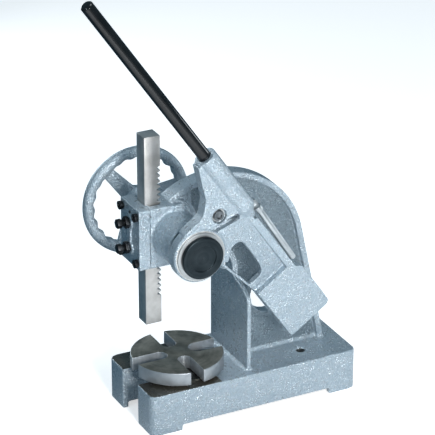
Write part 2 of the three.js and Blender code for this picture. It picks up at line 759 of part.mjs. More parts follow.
function endCap() {
  const front = capRearX + capThickness;
  let body = turned([
    [0, capRearX], [capRadius - 1, capRearX], [capRadius, capRearX + 1], [capRadius, front - 1.5],
    [capRadius - 1.5, front], [capRecess, front], [capRecess, front - capSunk], [0, front - capSunk],
  ], 56);
  body = body.subtract(cylinderX(leverStubRadius + gap, capRearX - 1, capRearX + capSpigot + gap));
  const centreMark = cylinderX(0.8, front - capSunk - 1.5, front, 0, 0, 12, 2.2);
  return body.subtract(centreMark);
}

function wheelSpacer() {
  const x0 = wheelHubX1 + gap;
  const x1 = wheelBossEndX - gap;
  const spacer = cylinderX(spacerRadius, x0, x1, 0, 0, 36);
  return spacer.subtract(cylinderX(shaftRadius + gap, x0 - 1, x1 + 1));
}

function handwheel() {
  const around = 84;
  const section = 10;
  const positions = [];
  const index = [];
  for (let i = 0; i < around; i += 1) {
    const angle = i * 2 * Math.PI / around;
    const wave = gripDepth * (0.5 - 0.5 * Math.cos(gripWaves * angle));
    for (let j = 0; j < section; j += 1) {
      const turn = j * 2 * Math.PI / section;
      const inward = Math.max(0, -Math.cos(turn));
      const r = rimCentre + (rimSection - wave * inward) * Math.cos(turn);
      positions.push(wheelX + rimSection * Math.sin(turn), r * Math.cos(angle), r * Math.sin(angle));
      const after = (i + 1) % around;
      const [a, b] = [i * section + j, i * section + (j + 1) % section];
      const [c, d] = [after * section + j, after * section + (j + 1) % section];
      index.push(a, c, b, b, c, d);
    }
  }
  const rim = new THREE.BufferGeometry();
  rim.setAttribute('position', new THREE.Float32BufferAttribute(positions, 3));
  rim.setIndex(index);
  let body = solid(rim).add(turned([
    [0, wheelHubX0], [wheelHubRadius - 3, wheelHubX0], [wheelHubRadius, wheelHubX0 + 3],
    [wheelHubRadius + 2, wheelHubX1 - 2], [wheelHubRadius, wheelHubX1], [0, wheelHubX1],
  ], 36));
  const [root, tip] = [spokeRoot / 2, spokeTip / 2];
  const spoke = prismX(rounded([[10, -root], [rimCentre - 4, -tip], [rimCentre - 4, tip], [10, root]]),
    wheelX - spokeThickness / 2, wheelX + spokeThickness / 2);
  for (let i = 0; i < spokeCount; i += 1) {
    const turn = THREE.MathUtils.radToDeg(spokePhase) + i * 360 / spokeCount;
    body = body.add(spoke.rotate([turn, 0, 0]));
  }
  body = body.subtract(cylinderX(wheelSeatRadius + gap, wheelHubX0 - 1, wheelHubX1 + 1));
  return body.subtract(keySlot(wheelHubX0 - 1, wheelHubX1 + 1, wheelSeatRadius));
}

function wheelWasher() {
  const x1 = wheelHubX0 - gap;
  const x0 = x1 - wheelWasherThickness;
  return cylinderX(wheelWasherRadius, x0, x1).subtract(cylinderX(threadRadius + gap, x0 - 1, x1 + 1));
}

function wheelNut() {
  const x1 = wheelHubX0 - wheelWasherThickness - 2 * gap;
  const x0 = x1 - wheelNutThickness;
  return prismX(hexagon(wheelNutFlats), x0, x1).subtract(cylinderX(threadRadius + gap, x0 - 1, x1 + 1));
}

// Lever pieces are drawn in (a, b): a runs from the shaft towards the counterweight, b square to it.

function armOutline() {
  return rounded([
    [-hubRadius - 2, 0], [-hubRadius - 3, 56, 22], [-94, 84, 20], [-socketMouth + 4, 113, 3],
    [-socketMouth + 4, socketOffset], [30, socketOffset], [30, borderOuter, 6], [weightShoulder, borderOuter],
    [weightShoulder, weightLow], [weightStart - 4, weightLow], [hubRadius - 4, 22], [0, 0],
  ]);
}

function windowOutline() {
  return rounded([
    [60, 29, 4], [71, 40, 6], [44, 66, 16], [50, 92, 22], [113, 92, 30], [161, 88, 26], [161, 47, 8],
  ]);
}

// the room that the pawl needs in the arm, from the ratchet to the outer edge
function pawlPocket() {
  return rounded([
    [-20, 30], [-45, 30], [-58, 74, 8], [-58, 104, 10], [-42, 108, 8], [-14, 148, 4], [-10, 174], [27, 174],
    [27, 152.5], [17, 150], [14, 132, 4], [-18, 84, 4], [-22, 50],
  ]);
}

function leverArm() {
  let body = prismX(armOutline(), armRearX, armFrontX, 6);
  const wedge = new THREE.Shape();
  wedge.moveTo(armFrontX + 1, 0);
  wedge.lineTo(armFrontX, 0);
  wedge.lineTo(armFrontX - panelDepth, weightStart - 3);
  wedge.lineTo(armFrontX + 1, weightStart - 3);
  wedge.closePath();
  const panel = solid(new THREE.ExtrudeGeometry(wedge, { depth: borderInner + 20, bevelEnabled: false }));
  body = body.subtract(panel.translate([0, 0, -20]));
  body = body.add(prismX(rounded([
    [weightStart, weightLow, 3], [weightEnd, weightLow, 8], [weightEnd, weightHigh, 14],
    [weightShoulder + 12, weightHigh, 8], [weightShoulder, borderOuter - 2], [weightStart, borderOuter - 6],
  ]), weightRearX, armFrontX, 4));
  body = body.subtract(prismX(windowOutline(), armRearX - 1, armFrontX + 1, 6));
  const rib = rounded([[hubRadius - 2, 10], [hubRadius + 3, 31], [158, 48.5], [158, 10]]);
  body = body.subtract(prismX(rib, armRearX + 12, armFrontX + 1));
  body = body.add(turned([
    [0, hubRearX], [hubRadius - 1, hubRearX], [hubRadius, hubRearX + 1], [hubRadius, hubFrontX - hubChamfer],
    [hubRadius - hubChamfer, hubFrontX], [0, hubFrontX],
  ], 56));
  body = body.add(cylinderY(socketRadius, -socketMouth, -8, socketX, socketOffset, 28));
  body = body.add(cylinderY(socketRadius, -8, 26, socketX, socketOffset, 28, 11));
  const cavity = ratchetRadius + ratchetRoom;
  body = body.subtract(cylinderX(cavity, armRearX - 1, ratchetEndX + gap, 0, 0, 48));
  body = body.subtract(cylinderX(leverBushRadius + gap, hubRearX, hubFrontX + 1, 0, 0, 36));
  body = body.subtract(prismX(pawlPocket(), armRearX - 12, pocketFrontX, 4));
  const bossRoom = rounded([[5, 153.7], [30, 152.5], [30, 176], [5, 176]]);
  body = body.subtract(prismX(bossRoom, pocketFrontX - 1, socketX + socketRadius + 1));
  const channel = rounded([[-30, 52], [-16, 52], [1, 118, 5], [-12, 123, 5]]);
  body = body.subtract(prismX(channel, pocketFrontX - 1, armFrontX + 1, 3));
  const headFloor = armFrontX - pawlHeadDepth;
  body = body.subtract(cylinderX(pawlSpotFace, headFloor, armFrontX + 1, pawlPivotA, pawlPivotB, 32));
  body = body.subtract(cylinderX(pawlPinRadius + gap, armRearX, armFrontX, pawlPivotA, pawlPivotB, 24));
  body = body.subtract(cylinderY(handleRadius + gap, -socketMouth - 1, -socketEnd, socketX, socketOffset, 28));
  const screwFaceX = socketX - socketRadius;
  return body.subtract(cylinderX(setScrewRadius + gap, screwFaceX - 1, socketX, setScrewA, socketOffset, 16));
}

function leverBush() {
  return bush(leverBushRadius, ratchetEndX + gap, hubFrontX - 0.2);
}

function handleBar() {
  const inner = -socketEnd - 1;
  const outer = -socketMouth - handleOut;
  let bar = cylinderY(handleRadius, outer + 3, inner, socketX, socketOffset, 28);
  bar = bar.add(cylinderY(handleRadius - 3, outer, outer + 3, socketX, socketOffset, 28, handleRadius));
  const rearX = socketX - handleRadius;
  const dimple = cylinderX(setScrewRadius + gap, rearX - 1, rearX + 2, setScrewA, socketOffset, 16);
  return bar.subtract(dimple);
}

function handleSetScrew() {
  const x0 = socketX - socketRadius + 1;
  const tip = socketX - handleRadius + 2 - gap;
  const screw = cylinderX(setScrewRadius, x0, tip, setScrewA, socketOffset, 16);
  const socket = prismX(hexagon(setScrewRadius), x0 - 1, x0 + 4);
  return screw.subtract(socket.translate([0, setScrewA, socketOffset]));
}

function pawlScrew() {
  const floor = armFrontX - pawlHeadDepth + gap;
  const face = armFrontX - 1.2;
  const head = cylinderX(pawlHeadRadius, floor, face, pawlPivotA, pawlPivotB, 32, pawlHeadRadius - 1);
  const shank = cylinderX(pawlPinRadius, armRearX + 1, floor + 1, pawlPivotA, pawlPivotB, 24);
  const socket = prismX(hexagon(pawlHeadRadius), face - 4.5, face + 1);
  return head.add(shank).subtract(socket.translate([0, pawlPivotA, pawlPivotB]));
}

function pawl() {
  const hub = cylinderX(pawlHub, pawlRearX, pawlFrontX, pawlPivotA, pawlPivotB, 28);
  const nose = rounded([[-52, 84], [-40, 34.2], [-31, 41], [-28, 86]]);
  const tail = rounded([
    [-40, 96], [-30, 78], [8, 132, 4], [14, 152], [24, 155], [24, 170, 3], [1, 171, 3], [-5, 146, 4],
  ]);
  let body = hub.add(prismX(nose, pawlRearX, pawlFrontX)).add(prismX(tail, pawlRearX, pawlFrontX, 4));
  const pivot = [pawlPivotA, pawlPivotB];
  body = body.subtract(cylinderX(pawlPinRadius + run, pawlRearX - 1, pawlFrontX + 1, ...pivot, 24));
  body = body.subtract(cylinderX(pawlHub + 1, springRearX - gap, pawlFrontX + 1, ...pivot, 28));
  body = body.add(releaseBarSolid(barBoss, -2, barBossEnd));
  return body.subtract(releaseBarSolid(barRadius - 1 + gap, 1, barBossEnd + 1));
}

// round bar on the line from barStart to barEnd; from and to are distances along it
function releaseBarSolid(radius, from, to, endRadius = radius) {
  const line = new THREE.Vector2(barEnd[0] - barStart[0], barEnd[1] - barStart[1]);
  const bar = cylinderY(radius, from, to, 0, 0, 20, endRadius);
  return bar.rotate([THREE.MathUtils.radToDeg(line.angle()), 0, 0]).translate([barX, barStart[0], barStart[1]]);
}

function releaseBar() {
  const length = Math.hypot(barEnd[0] - barStart[0], barEnd[1] - barStart[1]);
  const spigot = releaseBarSolid(barRadius - 1, 1 + gap, barBossEnd + 2);
  const grip = releaseBarSolid(barRadius, barBossEnd + gap, length - 2);
  return spigot.add(grip).add(releaseBarSolid(barRadius, length - 2, length, barRadius - 1.5));
}

function pawlSpring() {
  const wire = 1.1;
  const coilRadius = pawlPinRadius + run + wire + 0.6;
  const turns = 1.5;
  class Coil extends THREE.Curve {
    getPoint(t) {
      const angle = t * turns * 2 * Math.PI;
      const x = springRearX + wire + gap + t * turns * (2 * wire + 0.5);
      const [across, up] = [coilRadius * Math.cos(angle), coilRadius * Math.sin(angle)];
      return new THREE.Vector3(x, pawlPivotA + across, pawlPivotB + up);
    }
  }
  const section = new THREE.Shape();
  section.absarc(0, 0, wire, 0, 2 * Math.PI);
  return solid(new THREE.ExtrudeGeometry(section, { steps: 36, extrudePath: new Coil(), curveSegments: 4 }));
}

const press = new THREE.Group();

press.add(piece('base_casting', baseCasting(), 'paint'));
press.add(piece('upright_casting', uprightCasting(), 'paint'));
press.add(piece('head_casting', headCasting(), 'paint'));
press.add(piece('front_cover', frontCover(), 'paint'));
press.add(piece('gib_plate', gibPlate(), 'bronze'));
press.add(piece('oiler', oiler(), 'ground'));
coverScrewPlaces().forEach((place, i) => press.add(piece(`cover_screw_${i + 1}`, coverScrew(place), 'black')));
dowelPlaces().forEach((place, i) => press.add(piece(`cover_dowel_${i + 1}`, dowel(place), 'ground')));
for (const [level, z] of [['upper', upperZ], ['lower', lowerZ]]) {
  press.add(piece(`adjusting_screw_${level}`, adjustingScrew(z), 'black'));
  press.add(piece(`lock_nut_${level}`, lockNut(z), 'black'));
}
press.add(piece('table_plate', tablePlate(), 'machined'));
press.add(piece('table_pin', tablePin(), 'ground'));
press.add(piece('ram', ram(), 'ground'));

const shaftLine = new THREE.Group();
shaftLine.position.set(0, shaftY, shaftZ);
shaftLine.add(piece('pinion_shaft', pinionShaft(), 'ground'));
shaftLine.add(piece('bush_lever_side', bush(leverBoreRadius - gap, pinionLength / 2 + 1, bossEndX), 'bronze'));
shaftLine.add(piece('bush_wheel_side', bush(wheelBushRadius, wheelBossEndX, -pinionLength / 2 - 1), 'bronze'));
shaftLine.add(piece('ratchet_wheel', ratchetWheel(), 'machined'));
shaftLine.add(piece('ratchet_key', key(...ratchetKeyX, shaftRadius), 'ground'));
shaftLine.add(piece('thrust_ring', thrustRing(), 'ground'));
shaftLine.add(piece('end_cap', endCap(), 'black'));
shaftLine.add(piece('wheel_spacer', wheelSpacer(), 'ground'));
shaftLine.add(piece('handwheel', handwheel(), 'paint'));
shaftLine.add(piece('handwheel_key', key(...wheelKeyX, wheelSeatRadius), 'ground'));
shaftLine.add(piece('handwheel_washer', wheelWasher(), 'ground'));
shaftLine.add(piece('handwheel_nut', wheelNut(), 'black'));
press.add(shaftLine);

const lever = new THREE.Group();
lever.position.copy(shaftLine.position);
lever.rotation.x = leverAngle;
lever.add(piece('lever_arm', leverArm(), 'paint'));
lever.add(piece('lever_bush', leverBush(), 'bronze'));
lever.add(piece('handle_bar', handleBar(), 'black'));
lever.add(piece('handle_set_screw', handleSetScrew(), 'black'));
lever.add(piece('pawl_screw', pawlScrew(), 'black'));
lever.add(piece('pawl', pawl(), 'machined'));
lever.add(piece('pawl_spring', pawlSpring(), 'ground'));
lever.add(piece('release_bar', releaseBar(), 'ground'));
press.add(lever);

// the part's origin is the middle of its outline, on the bench
const outline = new THREE.Box3().setFromObject(press, true);
press.position.set(-(outline.min.x + outline.max.x) / 2, -(outline.min.y + outline.max.y) / 2, -outline.min.z);

export default press;
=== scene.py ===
import math

import bmesh
import bpy
from mathutils import Matrix, Vector


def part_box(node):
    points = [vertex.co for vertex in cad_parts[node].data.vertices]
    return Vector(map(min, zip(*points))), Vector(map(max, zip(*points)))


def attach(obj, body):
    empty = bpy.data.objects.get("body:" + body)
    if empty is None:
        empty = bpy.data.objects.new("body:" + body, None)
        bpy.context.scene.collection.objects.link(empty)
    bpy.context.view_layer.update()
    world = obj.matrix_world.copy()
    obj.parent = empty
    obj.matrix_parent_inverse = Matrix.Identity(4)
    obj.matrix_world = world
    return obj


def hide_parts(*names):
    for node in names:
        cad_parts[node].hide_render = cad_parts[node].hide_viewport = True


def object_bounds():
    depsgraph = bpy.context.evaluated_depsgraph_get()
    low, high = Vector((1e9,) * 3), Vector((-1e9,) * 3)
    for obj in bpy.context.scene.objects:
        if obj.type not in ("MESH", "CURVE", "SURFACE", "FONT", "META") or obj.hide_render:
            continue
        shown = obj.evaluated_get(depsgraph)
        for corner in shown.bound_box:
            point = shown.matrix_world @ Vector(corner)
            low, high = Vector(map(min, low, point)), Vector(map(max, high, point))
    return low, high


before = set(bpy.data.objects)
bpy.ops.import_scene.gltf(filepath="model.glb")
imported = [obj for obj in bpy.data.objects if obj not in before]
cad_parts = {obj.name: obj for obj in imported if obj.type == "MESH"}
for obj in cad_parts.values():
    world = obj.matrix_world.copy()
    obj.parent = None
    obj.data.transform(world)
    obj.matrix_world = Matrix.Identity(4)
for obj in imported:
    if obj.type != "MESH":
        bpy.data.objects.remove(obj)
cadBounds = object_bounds()
mm = 0.001

# camera, light and floor

studio = {
    "cameraPlace": (4.81833, -2.39266, 2.99029), "azimuth": 63.17, "elevation": 25.26, "lens": 224.2,
    "sensor": 36, "farClip": 60, "airColour": (0.45, 0.78, 1.0), "airStrength": 0.20,
}
paleFloor = {
    "size": 14.0, "drop": 0.0003, "seenColour": (0.97, 0.97, 0.97), "seenGlow": 0.6, "roughness": 0.9,
    "sideGlow": 0.3, "darkBounce": (0.03, 0.11, 0.17), "paleBounce": (0.80, 0.82, 0.84),
    "acrossWay": (0.89, 0.45, 0), "fadeHalf": 0.3,
}
lamps = {  # place, size, power, colour: all aimed at the middle of the press
    "keyLight": ((2.5, -0.4, 1.35), 0.6, 66, (1.0, 0.985, 0.97)),
    "topLight": ((0.3, 0.3, 3.4), 1.1, 22, (0.90, 0.96, 1.0)),
    "frontGlint": ((0.9, -2.3, 2.0), 0.4, 11, (0.80, 0.93, 1.0)),
    "wheelFill": ((-2.3, -0.3, 0.8), 1.0, 16, (0.90, 0.96, 1.0)),
    "rearFill": ((0.3, 2.7, 0.6), 1.0, 12, (0.90, 0.96, 1.0)),
}


def addCamera():
    camera = bpy.data.objects.new("studioCamera", bpy.data.cameras.new("studioCamera"))
    bpy.context.scene.collection.objects.link(camera)
    camera.data.lens = studio["lens"]
    camera.data.sensor_width = studio["sensor"]
    camera.data.clip_end = studio["farClip"]
    camera.location = studio["cameraPlace"]
    camera.rotation_euler = (math.radians(90 - studio["elevation"]), 0, math.radians(studio["azimuth"]))
    bpy.context.scene.camera = camera


def addLights():
    middle = (Vector(cadBounds[0]) + Vector(cadBounds[1])) / 2
    for name, (place, size, power, colour) in lamps.items():
        lamp = bpy.data.lights.new(name, "AREA")
        lamp.shape = "DISK"
        lamp.size = size
        lamp.energy = power
        lamp.color = colour
        holder = bpy.data.objects.new(name, lamp)
        holder.location = place
        holder.rotation_euler = (middle - Vector(place)).to_track_quat("-Z", "Y").to_euler()
        bpy.context.scene.collection.objects.link(holder)
    world = bpy.data.worlds.new("studioAir")
    world.use_nodes = True
    air = world.node_tree.nodes["Background"]
    air.inputs["Color"].default_value = (*studio["airColour"], 1)
    air.inputs["Strength"].default_value = studio["airStrength"]
    bpy.context.scene.world = world
    bpy.context.scene.view_settings.view_transform = "Standard"


def addFloor():
    s = paleFloor
    half = s["size"] / 2
    corners = [(-half, -half, 0), (half, -half, 0), (half, half, 0), (-half, half, 0)]
    mesh = bpy.data.meshes.new("floor")
    mesh.from_pydata(corners, [], [(0, 1, 2, 3)])
    floor = bpy.data.objects.new("floor", mesh)
    bpy.context.scene.collection.objects.link(floor)
    floor.location.z = -s["drop"]
    material, shader = newMaterial("paleFloor")
    # the light that the floor sends back fades to dark on the front and handwheel side, as over a
    # black card, while the camera sees an even pale floor
    tree = material.node_tree
    place = addNode(tree, "ShaderNodeTexCoord").outputs["Object"]
    across = addNode(tree, "ShaderNodeVectorMath", {0: place, 1: s["acrossWay"]}, operation="DOT_PRODUCT")
    pale = ramp(tree, across.outputs["Value"], -s["fadeHalf"], s["fadeHalf"])
    bounce = mixColour(tree, pale, s["darkBounce"], s["paleBounce"])
    seen = addNode(tree, "ShaderNodeLightPath").outputs["Is Camera Ray"]
    tree.links.new(mixColour(tree, seen, bounce, s["seenColour"]), shader.inputs["Base Color"])
    shader.inputs["Emission Color"].default_value = (*s["seenColour"], 1)
    glow = mathNode(tree, "MAXIMUM", mathNode(tree, "MULTIPLY", seen, s["seenGlow"]),
                    mathNode(tree, "MULTIPLY", pale, s["sideGlow"]))
    tree.links.new(glow, shader.inputs["Emission Strength"])
    shader.inputs["Roughness"].default_value = s["roughness"]
    mesh.materials.append(material)


# shader helpers and the effects that several materials share

def newMaterial(name):
    material = bpy.data.materials.new(name)
    material.use_nodes = True
    return material, material.node_tree.nodes["Principled BSDF"]


def addNode(tree, kind, inputs=None, **settings):
    node = tree.nodes.new(kind)
    for key, value in settings.items():
        setattr(node, key, value)
    for key, value in (inputs or {}).items():
        if isinstance(value, bpy.types.NodeSocket):
            tree.links.new(value, node.inputs[key])
        else:
            node.inputs[key].default_value = value
    return node


def mathNode(tree, operation, first, second=0.0, clamp=False):
    node = addNode(tree, "ShaderNodeMath", {0: first, 1: second}, operation=operation, use_clamp=clamp)
    return node.outputs[0]


def multiplyAdd(tree, value, factor, offset):
    node = addNode(tree, "ShaderNodeMath", {0: value, 1: factor, 2: offset}, operation="MULTIPLY_ADD")
    return node.outputs[0]


def mixColour(tree, factor, first, second):
    node = addNode(tree, "ShaderNodeMix", {"Factor": factor}, data_type="RGBA")
    for socket, value in ((node.inputs[6], first), (node.inputs[7], second)):
        if isinstance(value, bpy.types.NodeSocket):
            tree.links.new(value, socket)
        else:
            socket.default_value = (*value, 1)
    return node.outputs[2]


def ramp(tree, value, low, high):
    limits = {"Value": value, "From Min": low, "From Max": high}
    return addNode(tree, "ShaderNodeMapRange", limits, clamp=True).outputs["Result"]


def newGroup(name, inputs, outputs):
    group = bpy.data.node_groups.new(name, "ShaderNodeTree")
    for label, kind, value in inputs:
        socket = group.interface.new_socket(label, in_out="INPUT", socket_type=kind)
        if kind == "NodeSocketFloat":
            socket.default_value = value
    for label in outputs:
        group.interface.new_socket(label, in_out="OUTPUT", socket_type="NodeSocketFloat")
    return group, group.nodes.new("NodeGroupInput").outputs, group.nodes.new("NodeGroupOutput").inputs


def makeCastSkin():  # the grain of a sand casting under thick hammered paint
    group, given, out = newGroup("castSkin", [
        ("Vector", "NodeSocketVector", None), ("Grain", "NodeSocketFloat", 300),
        ("Mottle", "NodeSocketFloat", 40),
    ], ["Height", "Tone", "Spot"])
    fine = {"Vector": given["Vector"], "Scale": given["Grain"]}
    broad = {"Vector": given["Vector"], "Scale": given["Mottle"], "Detail": 5, "Roughness": 0.65}
    grain = addNode(group, "ShaderNodeTexNoise", {**fine, "Detail": 4})
    cells = addNode(group, "ShaderNodeTexVoronoi", fine, feature="SMOOTH_F1")
    mottle = addNode(group, "ShaderNodeTexNoise", broad)
    height = multiplyAdd(group, cells.outputs["Distance"], 0.6, grain.outputs["Fac"])
    group.links.new(height, out["Height"])
    group.links.new(ramp(group, mottle.outputs["Fac"], 0.3, 0.7), out["Tone"])
    group.links.new(ramp(group, grain.outputs["Fac"], 0.5, 0.68), out["Spot"])
    return group


def makeTurnedMarks():  # rings left by the lathe, about the Z axis of the vector it is given
    group, given, out = newGroup("turnedMarks", [
        ("Vector", "NodeSocketVector", None), ("Rings", "NodeSocketFloat", 900),
    ], ["Height", "Tone"])
    parts = addNode(group, "ShaderNodeSeparateXYZ", {"Vector": given["Vector"]}).outputs
    flat = addNode(group, "ShaderNodeCombineXYZ", {"X": parts[0], "Y": parts[1]}).outputs[0]
    radius = addNode(group, "ShaderNodeVectorMath", {0: flat}, operation="LENGTH").outputs["Value"]
    ringPlace = mathNode(group, "MULTIPLY", radius, given["Rings"])
    bandPlace = mathNode(group, "MULTIPLY", radius, 90.0)
    rings = addNode(group, "ShaderNodeTexNoise", {"W": ringPlace, "Scale": 1.0, "Detail": 2},
                    noise_dimensions="1D")
    broad = addNode(group, "ShaderNodeTexNoise", {"W": bandPlace, "Scale": 1.0}, noise_dimensions="1D")
    group.links.new(rings.outputs["Fac"], out["Height"])
    group.links.new(ramp(group, broad.outputs["Fac"], 0.3, 0.7), out["Tone"])
    return group


def makeGroundMarks():  # fine scratches along Z, with darker handled patches
    group, given, out = newGroup("groundMarks", [
        ("Vector", "NodeSocketVector", None), ("Fineness", "NodeSocketFloat", 1500),
        ("Patches", "NodeSocketFloat", 18),
    ], ["Height", "Tone"])
    stretched = addNode(group, "ShaderNodeVectorMath", {0: given["Vector"], 1: (1, 1, 0.02)},
                        operation="MULTIPLY")
    along = {"Vector": stretched.outputs[0], "Scale": given["Fineness"], "Detail": 3}
    broad = {"Vector": given["Vector"], "Scale": given["Patches"], "Detail": 6, "Roughness": 0.6}
    lines = addNode(group, "ShaderNodeTexNoise", along)
    patches = addNode(group, "ShaderNodeTexNoise", broad)
    group.links.new(lines.outputs["Fac"], out["Height"])
    group.links.new(ramp(group, patches.outputs["Fac"], 0.35, 0.65), out["Tone"])
    return group


effects = {
    "castSkin": makeCastSkin(), "turnedMarks": makeTurnedMarks(), "groundMarks": makeGroundMarks(),
}


def useEffect(tree, name, inputs):
    return addNode(tree, "ShaderNodeGroup", node_tree=effects[name], inputs=inputs).outputs


def objectPoint(tree, centre=(0, 0, 0), turn=(0, 0, 0)):
    coordinates = addNode(tree, "ShaderNodeTexCoord").outputs["Object"]
    moved = addNode(tree, "ShaderNodeVectorMath", {0: coordinates, 1: tuple(centre)}, operation="SUBTRACT")
    return addNode(tree, "ShaderNodeMapping", {"Vector": moved.outputs[0], "Rotation": turn}).outputs[0]


def bumpOf(tree, shader, height, strength, distance):
    bump = addNode(tree, "ShaderNodeBump", {"Height": height, "Strength": strength, "Distance": distance})
    tree.links.new(bump.outputs[0], shader.inputs["Normal"])


# materials

paint = {
    "light": (0.44, 0.515, 0.57), "deep": (0.33, 0.42, 0.49), "fleck": (0.74, 0.79, 0.83),
    # the near black and the dark teal on this line are painted shade, for the hollow inside the base and the
    # sunk web panels
    "hollowShade": (0.045, 0.055, 0.06), "shaded": (0.13, 0.18, 0.215), "fleckShare": 0.35, "shadedShare": 0.75,
    "grain": 330, "mottle": 60, "metallic": 0.55, "bareMetallic": 0.5, "roughness": 0.34,
    "toneGloss": -0.1, "coat": 0.25, "coatRoughness": 0.22, "bump": 1.0, "bumpDistance": 0.0024,
    "bareFineness": 900, "barePatches": 14,
}
turnedLook = {"fineness": 500, "patches": 22, "roughSpread": 0.12, "bumpDistance": 0.0003}
groundLook = {"patches": 26, "roughSpread": 0.2, "roughDrop": 0.1, "bumpDistance": 0.0003}
tableLook = {
    "faceDark": (0.12, 0.115, 0.095), "faceLight": (0.30, 0.29, 0.25), "edgeDark": (0.27, 0.30, 0.325),
    "edgeLight": (0.46, 0.49, 0.515), "rings": 700, "fineness": 260, "patches": 30, "ringShare": 0.25,
    "patchShare": 0.75, "roughness": 0.36, "roughSpread": 0.12, "metallic": 0.7, "bump": 0.12,
    "bumpDistance": 0.0002,
}
bareIron = {"light": (0.13, 0.122, 0.098), "dark": (0.055, 0.052, 0.044)}
bareSteel = {"light": (0.56, 0.57, 0.56), "dark": (0.36, 0.37, 0.38)}


def insideMask(tree, low, high):
    coordinates = addNode(tree, "ShaderNodeTexCoord").outputs["Object"]
    place = addNode(tree, "ShaderNodeSeparateXYZ", {"Vector": coordinates}).outputs
    mask = 1.0
    for axis in range(3):
        inside = mathNode(tree, "MULTIPLY", mathNode(tree, "GREATER_THAN", place[axis], low[axis]),
                          mathNode(tree, "LESS_THAN", place[axis], high[axis]))
        mask = mathNode(tree, "MULTIPLY", inside, mask)
    return mask


def facingMask(tree, facing):
    normal = addNode(tree, "ShaderNodeNewGeometry").outputs["Normal"]
    along = addNode(tree, "ShaderNodeVectorMath", {0: normal, 1: facing}, operation="DOT_PRODUCT")
    return ramp(tree, along.outputs["Value"], 0.8, 0.95)


def paintedCasting(name, machined=(), shadedHollow=None, shadedRecesses=()):
    # machined holds the corners of each bare face, the way it faces and its metal; the hollow box is a
    # cored space painted near black as shade; the recess boxes are sunk panels, square to X, with painted
    # shade
    material, shader = newMaterial(name)
    tree = material.node_tree
    skin = useEffect(tree, "castSkin", {"Vector": objectPoint(tree), "Grain": paint["grain"],
                                        "Mottle": paint["mottle"]})
    colour = mixColour(tree, skin["Tone"], paint["deep"], paint["light"])
    flecks = mathNode(tree, "MULTIPLY", skin["Spot"], paint["fleckShare"])
    colour = mixColour(tree, flecks, colour, paint["fleck"])
    metallic = paint["metallic"]
    roughness = multiplyAdd(tree, skin["Tone"], paint["toneGloss"], paint["roughness"])
    height = skin["Height"]
    # painted shade: faces square to X inside each recess box are darkened towards the dark teal
    for low, high in shadedRecesses:
        sides = mathNode(tree, "MAXIMUM", facingMask(tree, (1, 0, 0)), facingMask(tree, (-1, 0, 0)))
        panel = mathNode(tree, "MULTIPLY", insideMask(tree, low, high), sides)
        paintedShade = mathNode(tree, "MULTIPLY", panel, paint["shadedShare"])
        colour = mixColour(tree, paintedShade, colour, paint["shaded"])
    # painted shade: the hollow inside the base is painted near black
    if shadedHollow:
        colour = mixColour(tree, insideMask(tree, *shadedHollow), colour, paint["hollowShade"])
    for low, high, facing, metal in machined:
        mask = insideMask(tree, low, high)
        if facing:
            mask = mathNode(tree, "MULTIPLY", mask, facingMask(tree, facing))
        marks = useEffect(tree, "groundMarks", {
            "Vector": objectPoint(tree, turn=(math.pi / 2, 0, 0)),
            "Fineness": paint["bareFineness"], "Patches": paint["barePatches"]})
        iron = mixColour(tree, marks["Tone"], metal["dark"], metal["light"])
        colour = mixColour(tree, mask, colour, iron)
        height = mathNode(tree, "MULTIPLY", height, mathNode(tree, "SUBTRACT", 1.0, mask))
        metallic = multiplyAdd(tree, mask, paint["bareMetallic"], paint["metallic"])
    tree.links.new(colour, shader.inputs["Base Color"])
    tree.links.new(roughness, shader.inputs["Roughness"])
    shader.inputs["Coat Weight"].default_value = paint["coat"]
    shader.inputs["Coat Roughness"].default_value = paint["coatRoughness"]
    if isinstance(metallic, bpy.types.NodeSocket):
        tree.links.new(metallic, shader.inputs["Metallic"])
    else:
        shader.inputs["Metallic"].default_value = metallic
    bumpOf(tree, shader, height, paint["bump"], paint["bumpDistance"])
    return material


def turnedMetal(name, centre, turn, dark, light, metallic, roughness, rings=900, strength=0.25):
    material, shader = newMaterial(name)
    tree = material.node_tree
    point = objectPoint(tree, centre, turn)
    marks = useEffect(tree, "turnedMarks", {"Vector": point, "Rings": rings})
    patches = useEffect(tree, "groundMarks", {
        "Vector": point, "Fineness": turnedLook["fineness"], "Patches": turnedLook["patches"]})
    tone = mathNode(tree, "MULTIPLY", mathNode(tree, "ADD", marks["Tone"], patches["Tone"]), 0.5)
    tree.links.new(mixColour(tree, tone, dark, light), shader.inputs["Base Color"])
    rough = multiplyAdd(tree, patches["Tone"], turnedLook["roughSpread"], roughness)
    tree.links.new(rough, shader.inputs["Roughness"])
    shader.inputs["Metallic"].default_value = metallic
    bumpOf(tree, shader, marks["Height"], strength, turnedLook["bumpDistance"])
    return material


def tableMetal(name, centre):
    # the working face has gone dark, the turned edge and the slots are kept bright
    s = tableLook
    material, shader = newMaterial(name)
    tree = material.node_tree
    point = objectPoint(tree, centre)
    marks = useEffect(tree, "turnedMarks", {"Vector": point, "Rings": s["rings"]})
    patches = useEffect(tree, "groundMarks", {
        "Vector": point, "Fineness": s["fineness"], "Patches": s["patches"]})
    patchTone = mathNode(tree, "MULTIPLY", patches["Tone"], s["patchShare"])
    tone = multiplyAdd(tree, marks["Tone"], s["ringShare"], patchTone)
    up = facingMask(tree, (0, 0, 1))
    dark = mixColour(tree, tone, s["faceDark"], s["faceLight"])
    bright = mixColour(tree, tone, s["edgeDark"], s["edgeLight"])
    tree.links.new(mixColour(tree, up, bright, dark), shader.inputs["Base Color"])
    rough = multiplyAdd(tree, patches["Tone"], s["roughSpread"], s["roughness"])
    tree.links.new(rough, shader.inputs["Roughness"])
    shader.inputs["Metallic"].default_value = s["metallic"]
    bumpOf(tree, shader, marks["Height"], s["bump"], s["bumpDistance"])
    return material


